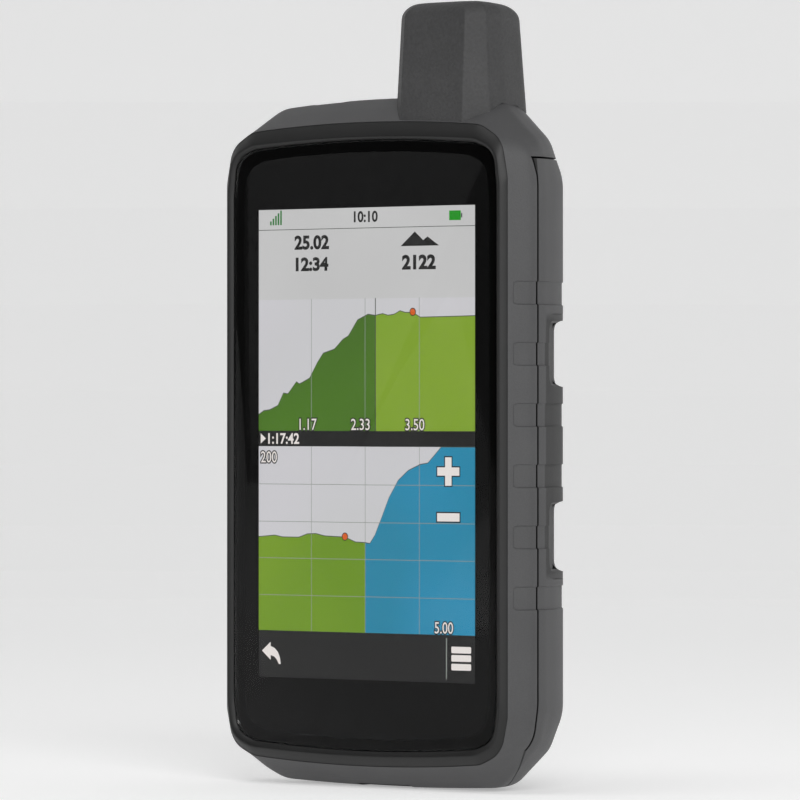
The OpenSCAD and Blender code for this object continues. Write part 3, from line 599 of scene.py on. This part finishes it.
def case_solid(name, inset=0.0, fine=False):
    """Case form, drawn in by inset; the fine one is rounded and has the grip grooves."""
    if fine:
        stations = FINE_STATIONS
    else:
        stations = CASE_FORMS[:, 0]
    forms = smooth_forms(stations) if fine else CASE_FORMS
    rings = []
    for form in forms:
        ring = at_depth(outline(form, inset, fine), form[0])
        if fine:
            side = np.abs(ring[:, 0]) > form[1] - GRIP_REACH
            cut = grip_depth(ring[:, 1], ring[:, 2]) * side
            ring[:, 0] -= np.sign(ring[:, 0]) * cut
        rings.append(ring)
    return loft(name, rings)


def cover_region(name, grow):
    """Region of the battery cover, grown all round by grow."""
    corners = [np.array(c) for c in COVER_SIDE]
    points = []
    for i, p in enumerate(corners):
        a, b = unit(p - corners[i - 1]), unit(corners[(i + 1) % len(corners)] - p)
        na, nb = np.array((-a[1], a[0])), np.array((-b[1], b[0]))
        points.append(p - grow * (na + nb) / (1 + na @ nb))
    return prism(name, points, -BEYOND, BEYOND, 0)


def notch_cutter(side, low, high):
    """Cutter of one notch, shallower at both ends, so that its floor runs round into them."""
    rings = []
    for wall, sign, turns in ((low, 1, (0, 90)), (high, -1, (90, 180))):
        for turn in np.linspace(*turns, 9):
            t = math.radians(turn)
            shift = NOTCH_SPREAD * (NOTCH_ROUND * (1 - math.sin(t)))
            z = wall + sign * NOTCH_ROUND * (1 - sign * math.cos(t))
            rings.append(np.array(
                [(side * (x + shift), y, z) for x, y in NOTCH_FLOOR]
                + [(side * NOTCH_MOUTH, y, z) for y in (NOTCH_FLOOR[-1][1], NOTCH_FLOOR[0][1])]))
    return loft("notch", rings)


def rail_cutters():
    """The recess along each rear edge and its two notches, as closed cutters."""
    lower = [(x - GRIP_DEPTH, y) for x, y in RAIL_FLOOR]
    inside = [span for span in grip_spans() if RAIL_Z[0] < span[0] and span[1] < RAIL_Z[1]]
    middle, depth, corner = RAIL_FACE
    cutters = []
    for side in (1, -1):
        for line, low, high in [(RAIL_FLOOR, *RAIL_Z)] + [(lower, *span) for span in inside]:
            recess = prism("recess", [(side * x, y) for x, y in line + RAIL_MOUTH], low, high, 2)
            if line is RAIL_FLOOR:
                face = round_rect(middle, sum(RAIL_Z) / 2, depth, RAIL_Z[1] - RAIL_Z[0], corner)
                boolean(recess, [prism("face", face, -BEYOND, BEYOND, 0)], "INTERSECT")
            cutters.append(recess)
        cutters += [notch_cutter(side, *span) for span in NOTCHES]
    return cutters


def notch_back(side, low, high):
    """Solid behind one notch, which the battery cover's hollow goes round."""
    points = [NOTCH_LIP] + NOTCH_FLOOR[1:-1] + NOTCH_BACK
    return prism("back", [(side * x, y) for x, y in points],
                 low - NOTCH_WALL, high + NOTCH_WALL, 2)


def build_shells():
    """Battery cover and front shell, both cut out of the same case form."""
    case = case_solid("case_form", fine=True)
    boolean(case, rail_cutters())

    cover = case.copy()
    cover.data = case.data.copy()
    cover.name = "rear_cover_shell"
    SCENE.collection.objects.link(cover)
    boolean(cover, [cover_region("region", 0)], "INTERSECT")
    hollow = case_solid("hollow", COVER_WALL)
    boolean(hollow, [box("clip", (-BEYOND, FORE, BELOW), (BEYOND, HOLLOW_BACK, ABOVE))], "INTERSECT")
    boolean(hollow, [notch_back(side, *span) for side in (1, -1) for span in NOTCHES])
    boolean(cover, [hollow])
    latch = (0.0, LATCH_Z)
    boolean(cover, [cylinder("cup", latch, CUP_R, *CUP_Y)], "UNION")
    boolean(cover, [cylinder("well", latch, WELL_R, WELL_FLOOR, AFT),
                    cylinder("shaft_hole", latch, SHAFT_HOLE_R, SHAFT_HOLE_Y, AFT)])
    soften(cover, 30)
    finish_piece(cover, COVER_SHELL, "cover", "housing_grey", "battery_cover")

    front = case
    front.name = "front_shell"
    boolean(front, [cover_region("region", SEAM)])
    hollow = case_solid("hollow", WALL)
    boolean(hollow, [box("clip", (-BEYOND, FRONT_INSIDE, BELOW), (BEYOND, HOLLOW_BACK, ABOVE))], "INTERSECT")
    boolean(hollow, [box("shelf", (-BEYOND, SHELF_Y, SHELF_Z[0]), (BEYOND, AFT, SHELF_Z[1]))])
    boolean(front, [hollow])
    boolean(front, [
        loft("bezel_seat", [at_depth(outline(BEZEL_FORM), FORE),
                            at_depth(outline(BEZEL_FORM), Y_BEZEL_BACK)]),
        loft("glass_seat", [at_depth(outline(GLASS_FORM, -0.1), FORE),
                            at_depth(outline(GLASS_FORM, -0.1), GLASS_SEAT_BACK)]),
        box("window", (-WINDOW_HALF, WINDOW_Y[0], WINDOW_Z[0]),
            (WINDOW_HALF, WINDOW_Y[1], WINDOW_Z[1]))])
    mcx_x, mcx_z = MCX
    boolean(front, [box("mcx_boss", (mcx_x + JACK_BOSS_X[0], JACK_BOSS_Y[0], JACK_BOSS_Z[0]),
                        (mcx_x + JACK_BOSS_X[1], JACK_BOSS_Y[1], JACK_BOSS_Z[1]))], "UNION")
    boolean(front, [
        prism("mcx_recess", round_rect(mcx_x - JACK_RECESS_SHIFT, mcx_z, *JACK_RECESS),
              JACK_RECESS_FLOOR, AFT, 1),
        cylinder("mcx_hole", MCX, JACK_HOLE_R, *JACK_HOLE_Y),
        prism("button_hole", round_rect(*BUTTON, *BUTTON_HOLE), *LID, 2),
        box("usb_recess", (USB_RECESS_X[0], USB_Y - USB_RECESS_HALF, USB_RECESS_Z[0]),
            (USB_RECESS_X[1], USB_Y + USB_RECESS_HALF, USB_RECESS_Z[1])),
        cylinder("antenna_hole", (ANTENNA_X, ANTENNA_HOLE_Y), ANTENNA_HOLE_R, *LID, 2)])
    soften(front, 30)
    finish_piece(front, HOUSING, "unit", "housing_grey", "front_housing")


def refined(name, body, slot, look, width):
    """Replaces a CAD node by a copy of it whose sharp edges are rounded."""
    source = frame["nodes"][name]
    obj = source.copy()
    obj.data = source.data.copy()
    obj.name = name + "_moulded"
    SCENE.collection.objects.link(obj)
    obj.parent = None
    obj.matrix_world = source.matrix_world.copy()
    bm = bmesh.new()
    bm.from_mesh(obj.data)
    bmesh.ops.remove_doubles(bm, verts=bm.verts, dist=0.002 * MM)
    bmesh.ops.dissolve_limit(bm, angle_limit=math.radians(0.6), verts=bm.verts, edges=bm.edges)
    bm.to_mesh(obj.data)
    bm.free()
    bevel(obj, width, 35)
    soften(obj, 28)
    finish_piece(obj, look, body, slot, name)


build_shells()
refined("latch_shaft", "latch", "latch_metal", LATCH, 0.22)
refined("d_ring", "ring", "latch_metal", LATCH, 0.25)
refined("usb_cap", "usb_flap", "black_rubber", RUBBER, 0.25)
refined("mcx_cap", "mcx_flap", "black_rubber", RUBBER, 0.25)
refined("power_button", "button", "black_rubber", RUBBER, 0.3)


# ------------------------------------------------------------------ bezel and glass
def ring_sweep(name, rings):
    """Closed ring swept through outlines that lie one after another round its section."""
    n, m = len(rings[0]), len(rings)
    faces = []
    for k in range(m):
        for i in range(n):
            j = (i + 1) % n
            h = (k + 1) % m
            faces.append((k * n + i, k * n + j, h * n + j, h * n + i))
    obj = new_object(name, np.concatenate(rings), faces)
    fix_normals(obj)
    return obj


def build_bezel():
    """Bezel ring, from its outer edge over the ridge to the glass."""
    rings = [
        at_depth(outline(BEZEL_FORM, 0.05), Y_BEZEL_BACK),
        at_depth(outline(BEZEL_FORM, 0.05), Y_BEZEL + 0.15),
        at_depth(outline(BEZEL_FORM, 0.15), Y_BEZEL - 0.05),
        at_depth(outline(RIDGE_FORM, -0.25), Y_RIDGE + 0.1),
        at_depth(outline(RIDGE_FORM, -0.08), Y_RIDGE),
        at_depth(outline(RIDGE_FORM, 0.2), Y_RIDGE),
        at_depth(outline(RIDGE_FORM, 0.38), Y_RIDGE + 0.12),
        at_depth(outline(GLASS_FORM, -0.2), Y_GLASS - 0.05),
        at_depth(outline(GLASS_FORM, -0.12), Y_GLASS + 0.1),
        at_depth(outline(GLASS_FORM, -0.12), Y_BEZEL_BACK)]
    bezel = soften(ring_sweep("bezel_ring", rings), 50)
    finish_piece(bezel, BEZEL, "unit", "bezel_plastic", "bezel")


def glass_material():
    """Clear glass with faint smudges in its gloss."""
    m, tree, shader, where = material(
        "cover_glass", (1, 1, 1), 0.03, Transmission_Weight=1.0, IOR=1.25)
    smudge = noise(tree, where, 22.0, 4.0)
    rough = tree.nodes.new("ShaderNodeMapRange")
    rough.inputs["To Min"].default_value = 0.015
    rough.inputs["To Max"].default_value = 0.05
    tree.links.new(smudge, rough.inputs["Value"])
    tree.links.new(rough.outputs["Result"], shader.inputs["Roughness"])
    return m


def build_glass():
    """Cover glass, and the black print round the display on its back."""
    back = GLASS_HIGH[1]
    rings = [at_depth(outline(GLASS_FORM, 0.1), Y_GLASS),
             at_depth(outline(GLASS_FORM, 0.03), Y_GLASS + 0.03),
             at_depth(outline(GLASS_FORM), Y_GLASS + 0.1),
             at_depth(outline(GLASS_FORM), back)]
    glass = loft("cover_glass", rings)
    soften(glass, 25)
    finish_piece(glass, glass_material(), "unit", "cover_glass", "touch_glass")

    border = prism("border_print", outline(GLASS_FORM, 0.02), back + 0.01, back + 0.1, 1)
    window = box("window", (-DISPLAY_W / 2, FORE, DISPLAY_Z - DISPLAY_H / 2),
                 (DISPLAY_W / 2, 0, DISPLAY_Z + DISPLAY_H / 2))
    boolean(border, [window])
    finish_piece(border, PRINT, "unit", "cover_glass", "touch_sensor")


PRINT = ink("border_ink", (0.0009, 0.0009, 0.0010), (0.0011, 0.0011, 0.0012))
build_bezel()
build_glass()


# ------------------------------------------------------------------ display
# Display coordinates are millimetres from the lower left corner of the lit area.
SHEET = 0.006  # from one layer of the picture to the next


def on_screen(points, layer):
    """Thin plate with its front on a layer of the display's surface."""
    front = Y_PANEL - SHEET * (layer + 1)
    moved = [(x - DISPLAY_W / 2, z + DISPLAY_Z - DISPLAY_H / 2) for x, z in points]
    return prism("mark", moved, front, front + SHEET * 0.9, 1)


def area(x0, z0, x1, z1, layer):
    """Rectangle on the display."""
    return on_screen([(x0, z0), (x1, z0), (x1, z1), (x0, z1)], layer)


def under(profile, floor, layer):
    """Area between a profile of (x, z) points and a floor."""
    return on_screen([(profile[0][0], floor), (profile[-1][0], floor)] + profile[::-1], layer)


def disc(x, z, r, layer):
    """Disc on the display."""
    turn = np.linspace(0, 2 * math.pi, 33)[:-1]
    return on_screen([(x + r * math.cos(t), z + r * math.sin(t)) for t in turn], layer)


def numerals(text, x0, z0, x1, z1, layer, weight):
    """Numerals fitted into a box; weight thickens the strokes."""
    font = bpy.data.curves.new("text", "FONT")
    font.body = text
    font.resolution_u = 4
    holder = bpy.data.objects.new("text", font)
    SCENE.collection.objects.link(holder)
    bpy.context.view_layer.update()
    graph = bpy.context.evaluated_depsgraph_get()
    plain = bpy.data.meshes.new_from_object(holder.evaluated_get(graph))
    places = np.empty(len(plain.vertices) * 3)
    plain.vertices.foreach_get("co", places)
    low, high = places.reshape(-1, 3).min(axis=0), places.reshape(-1, 3).max(axis=0)
    scale = ((x1 - x0) / (high[0] - low[0]), (z1 - z0) / (high[1] - low[1]))
    font.offset = weight / scale[1]
    bpy.context.view_layer.update()
    graph = bpy.context.evaluated_depsgraph_get()
    mesh = bpy.data.meshes.new_from_object(holder.evaluated_get(graph))
    front = Y_PANEL - SHEET * (layer + 1)
    for vertex in mesh.vertices:
        x, z = vertex.co.x, vertex.co.y
        vertex.co = ((x0 + (x - low[0]) * scale[0] - DISPLAY_W / 2) * MM, front * MM,
                     (z0 + (z - low[1]) * scale[1] + DISPLAY_Z - DISPLAY_H / 2) * MM)
    bpy.data.objects.remove(holder)
    obj = bpy.data.objects.new("numerals", mesh)
    SCENE.collection.objects.link(obj)
    return obj


def build_screen():
    """The picture on the display: one joined piece for each colour."""
    bar_top, map_top, chart_low, chart_top, grid_top = 10.9, 53.8, 57.4, 87.9, 88.0
    status_low, line, edge = 104.1, 0.07, 0.1
    climb = [(0, 61.2), (1.6, 62.1), (3.4, 62.3), (5.9, 63.3), (7.6, 66.2), (9.0, 66.0),
             (11.6, 68.8), (12.6, 68.3), (15.6, 69.6), (18.0, 73.2), (19.8, 75.4),
             (23.2, 76.3), (25.8, 78.6), (27.4, 79.3), (30.2, 83.0), (33.4, 84.3), (35.6, 84.0)]
    ridge = [(35.6, 84.0), (37.8, 84.4), (39.4, 84.0), (41.2, 84.2), (43.0, 85.0),
             (44.6, 84.6), (46.8, 84.6), (49.0, 83.5), (65.3, 83.7)]
    meadow = [(0, 32.7), (2.6, 32.9), (5.0, 33.1), (7.4, 32.7), (12.4, 32.7), (15.0, 33.5),
              (17.6, 33.6), (20.2, 33.1), (26.4, 32.9), (29.6, 31.8), (32.5, 31.7)]
    slope = [(32.5, 31.7), (33.9, 31.5), (35.4, 33.4), (37.4, 37.4), (39.6, 42.0),
             (42.4, 46.1), (45.4, 48.4), (49.0, 49.8), (51.2, 50.1), (53.4, 52.1),
             (55.2, 53.8), (65.3, 53.8)]
    lines = [area(x - line, z0, x + line, z1, 4) for x in (16.2, 32.5, 48.7)
             for z0, z1 in ((chart_low, grid_top), (bar_top, map_top))]
    lines += [area(0, z - line, DISPLAY_W, z + line, 4) for z in (45.0, 36.3, 27.8, 19.2)]
    edges = [on_screen([(x, z - edge) for x, z in p] + [(x, z + edge) for x, z in p[::-1]], 5)
             for p in (climb, ridge, meadow, slope)]
    bars = [area(3.5 + 0.78 * i, 105.3, 3.98 + 0.78 * i, 106.2 + 0.62 * i, 3)
            for i in range(5)]
    arrow = [(1.0, 6.1), (3.7, 8.2), (3.7, 7.2), (4.9, 6.8), (5.9, 5.9), (6.5, 4.7),
             (6.8, 3.1), (6.2, 3.1), (5.6, 4.1), (4.8, 4.8), (3.7, 5.1), (3.7, 4.0)]
    menu = [on_screen(rounded([(58.2, z, 0.25), (64.0, z, 0.25), (64.0, z + 1.5, 0.25),
                               (58.2, z + 1.5, 0.25)], 4), 3) for z in (2.9, 4.9, 6.8)]

    def cross(grow, layer):
        """The plus of the zoom key, grown all round by grow."""
        a, b = 0.95 + grow, 3.25 + grow
        return on_screen([(57.3 + x, 48.2 + z) for x, z in (
            (-b, -a), (-a, -a), (-a, -b), (a, -b), (a, -a), (b, -a), (b, a), (a, a),
            (a, b), (-a, b), (-a, a), (-b, a))], layer)

    labels = [("1.17", 12.6, 57.6, 17.8, 60.2), ("2.33", 28.3, 57.6, 33.9, 60.2),
              ("3.50", 44.6, 57.6, 50.2, 60.2), ("200", 0.7, 50.0, 5.6, 52.6),
              ("5.00", 53.3, 11.2, 58.7, 13.8)]
    groups = {
        ("c6c6c6", "c1c1c1"): [area(0, 0, DISPLAY_W, DISPLAY_H, 0)],
        ("cccbcf", "c8c8ca"): [area(0, chart_low, DISPLAY_W, chart_top, 1),
                               area(0, bar_top, DISPLAY_W, map_top, 1)],
        ("4d7612", "456912"): [under(climb, chart_low, 2)],
        ("84a23a", "7a9e2b"): [under(ridge, chart_low, 2)],
        ("76992a", "6b9018"): [under(meadow, bar_top, 2)],
        ("2f8db4", "2b83a2"): [under(slope, bar_top, 2)],
        ("191919", "151515"): [area(0, map_top, DISPLAY_W, chart_low, 2)],
        ("262626", "222222"): [area(0, 0, DISPLAY_W, bar_top, 2)],
        ("8e948e", None): lines + [area(56.6, 0.8, 56.9, 10.2, 4)],
        ("4c524c", None): edges + [area(35.5, chart_low, 35.75, grid_top, 6),
                                   area(0, status_low, DISPLAY_W, 104.25, 3)],
        ("2f7838", None): bars,
        ("129a16", "0f8c12"): [area(57.6, 105.5, 61.0, 107.7, 3)],
        ("1b1b1d", None): [area(61.1, 106.1, 61.4, 107.1, 3), cross(0.28, 6),
                           area(53.7, 36.5, 60.9, 39.0, 6),
                           disc(46.8, 84.7, 0.95, 6), disc(26.4, 33.0, 0.95, 6),
                           numerals("10:10", 29.2, 105.6, 36.2, 108.0, 3, 0.1),
                           numerals("25.02", 11.2, 99.6, 21.4, 102.6, 3, 0.17),
                           numerals("12:34", 11.6, 94.6, 21.2, 97.5, 3, 0.17),
                           numerals("2122", 43.8, 94.6, 53.4, 97.6, 3, 0.2),
                           on_screen([(43.2, 99.8), (54.6, 99.8), (51.2, 101.9), (49.9, 101.1),
                                      (47.4, 103.1)], 3)]
        + [numerals(*label, 6, 0.3) for label in labels],
        ("e6e0dc", None): [cross(0, 7), area(54.0, 36.8, 60.6, 38.7, 7), on_screen(arrow, 3),
                           numerals("1:17:42", 3.0, 54.4, 12.4, 56.8, 3, 0.08),
                           on_screen([(0.6, 54.4), (2.2, 55.6), (0.6, 56.8)], 3)]
        + menu + [numerals(*label, 7, 0.02) for label in labels],
        ("d3602a", None): [disc(46.8, 84.7, 0.75, 7), disc(26.4, 33.0, 0.75, 7)]}
    for number, ((light, dark), objects) in enumerate(groups.items()):
        finish_piece(join("screen_layer_%02d" % number, objects),
                     screen_colour(light, dark), "unit", "display")


build_screen()


# ------------------------------------------------------------------ antenna shroud
# Corners: x, y, radius, how x and y run with height, and the share of an inset y takes
SHROUD = ((9.25, -15.05, 0.7, -0.013, 0.062, 1), (14.25, -10.4, 1.0, -0.06, 0.01, 0.4),
          (14.7, -5.5, 8, -0.055, 0, 0), (13.8, 4.2, 5, -0.05, -0.055, -0.5),
          (7.8, 9.1, 5, -0.03, -0.069, -1))
SHROUD_FOOT, SHROUD_FRONT, SHROUD_DEPTH = 150, -15, 24
DOME_HEIGHT, DOME_INSET = 3.7, 4.3


def shroud_ring(z, inset, drop):
    """Outline of the shroud at height z; drop is how far its back lies lower."""
    h = z - SHROUD_FOOT
    half = [(x + mx * h - inset, y + my * h + share * inset, r)
            for x, y, r, mx, my, share in SHROUD]
    points = rounded(half + [(-x, y, r) for x, y, r in reversed(half)])
    return np.stack([ANTENNA_X + points[:, 0], points[:, 1],
                     z - drop * (points[:, 1] - SHROUD_FRONT) / SHROUD_DEPTH], axis=1)


def build_antenna():
    """Antenna shroud with its domed top, cut to the shape of the case."""
    rings = [shroud_ring(SHROUD_FOOT, 0, 0)]
    for t in np.linspace(0, 1, 14):
        angle = t * math.pi / 2
        rings.append(shroud_ring(ANTENNA_TOP - DOME_HEIGHT + DOME_HEIGHT * math.sin(angle),
                                 DOME_INSET * (1 - math.cos(angle)), 1))
    shroud = loft("antenna_shroud", rings)
    boolean(shroud, [case_solid("case")])
    soften(shroud, 24)
    finish_piece(shroud, ANTENNA, "unit", "antenna_plastic", "antenna_cover")


build_antenna()

# ------------------------------------------------------------------ camera and light
AZIMUTH = math.radians(40.2)
DISTANCE = 1520.5
CENTRE_Z = 86.5
FACE_Y = -14.62
AIM_RIGHT, AIM_UP = 7.7, 3.0
LENS, SENSOR = 296.7, 36
FLOOR_GLOW, WORLD_GLOW = 0.36, 0.16
# Floor and backdrop: reach to the front and sides, where the floor ends, the radius
# that it turns up with, and the top
SWEEP_REACH, SWEEP_FLAT, SWEEP_ROUND, SWEEP_TOP = 6000, 1400, 500, 2600
LIGHT_AIM = (0, 0, 0.09)
# name, place in m, diameter in m, power in W
LIGHTS = (("key", (1.0, -0.9, 0.7), 0.8, 10.5), ("top", (-0.2, -0.4, 1.5), 1.0, 4.5),
          ("rear", (0.7, 1.6, 0.8), 1.0, 1.5), ("right", (1.3, 0.85, 0.5), 0.8, 2.5))


def aim_at(obj, target):
    """Turns a camera or light to look at a point."""
    direction = Vector(target) - obj.location
    obj.rotation_euler = direction.to_track_quat("-Z", "Y").to_euler()


def build_camera():
    """Camera at the photograph's angle."""
    data = bpy.data.cameras.new("camera")
    data.lens = LENS
    data.sensor_width = SENSOR
    data.clip_end = 20
    camera = bpy.data.objects.new("camera", data)
    SCENE.collection.objects.link(camera)
    camera.location = (DISTANCE * math.sin(AZIMUTH) * MM,
                       (FACE_Y - DISTANCE * math.cos(AZIMUTH)) * MM, CENTRE_Z * MM)
    aim_at(camera, (AIM_RIGHT * math.cos(AZIMUTH) * MM,
                    (FACE_Y + AIM_RIGHT * math.sin(AZIMUTH)) * MM,
                    (CENTRE_Z + AIM_UP) * MM))
    SCENE.camera = camera


def area_light(name, place, size, power):
    """Round soft light aimed at the middle of the object."""
    data = bpy.data.lights.new(name, "AREA")
    data.shape = "DISK"
    data.size = size
    data.energy = power
    light = bpy.data.objects.new(name, data)
    SCENE.collection.objects.link(light)
    light.location = place
    aim_at(light, LIGHT_AIM)


def pale_floor():
    """Plain matt stage material, the same pale tone all over, that glows a little."""
    m, _, shader, _ = material("pale_floor", (0.8,) * 3, 0.9, Specular_IOR_Level=0.0)
    shader.inputs["Emission Color"].default_value = (1, 1, 1, 1)
    shader.inputs["Emission Strength"].default_value = FLOOR_GLOW
    return m


def build_stage():
    """Plain pale floor that runs up into a backdrop, even world light and four lights."""
    view = np.array((-math.sin(AZIMUTH), math.cos(AZIMUTH), 0))
    across = np.array((math.cos(AZIMUTH), math.sin(AZIMUTH), 0))
    up = np.array((0, 0, 1.0))
    profile = [(-SWEEP_REACH, 0), (SWEEP_FLAT, 0)]
    profile += [(SWEEP_FLAT + SWEEP_ROUND * math.sin(t), SWEEP_ROUND - SWEEP_ROUND * math.cos(t))
                for t in np.linspace(0.1, math.pi / 2, 12)]
    profile += [(SWEEP_FLAT + SWEEP_ROUND, SWEEP_TOP)]
    rows = [[view * d + up * h + across * w for w in (-SWEEP_REACH, SWEEP_REACH)]
            for d, h in profile]
    faces = [(2 * k, 2 * k + 1, 2 * k + 3, 2 * k + 2) for k in range(len(rows) - 1)]
    obj = new_object("sweep", np.array(rows).reshape(-1, 3), faces)
    obj.data.materials.append(pale_floor())
    world = bpy.data.worlds.new("world")
    world.use_nodes = True
    world.node_tree.nodes["Background"].inputs["Color"].default_value = (1, 1, 1, 1)
    world.node_tree.nodes["Background"].inputs["Strength"].default_value = WORLD_GLOW
    SCENE.world = world
    SCENE.view_settings.view_transform = "Standard"
    for light in LIGHTS:
        area_light(*light)


build_camera()
build_stage()
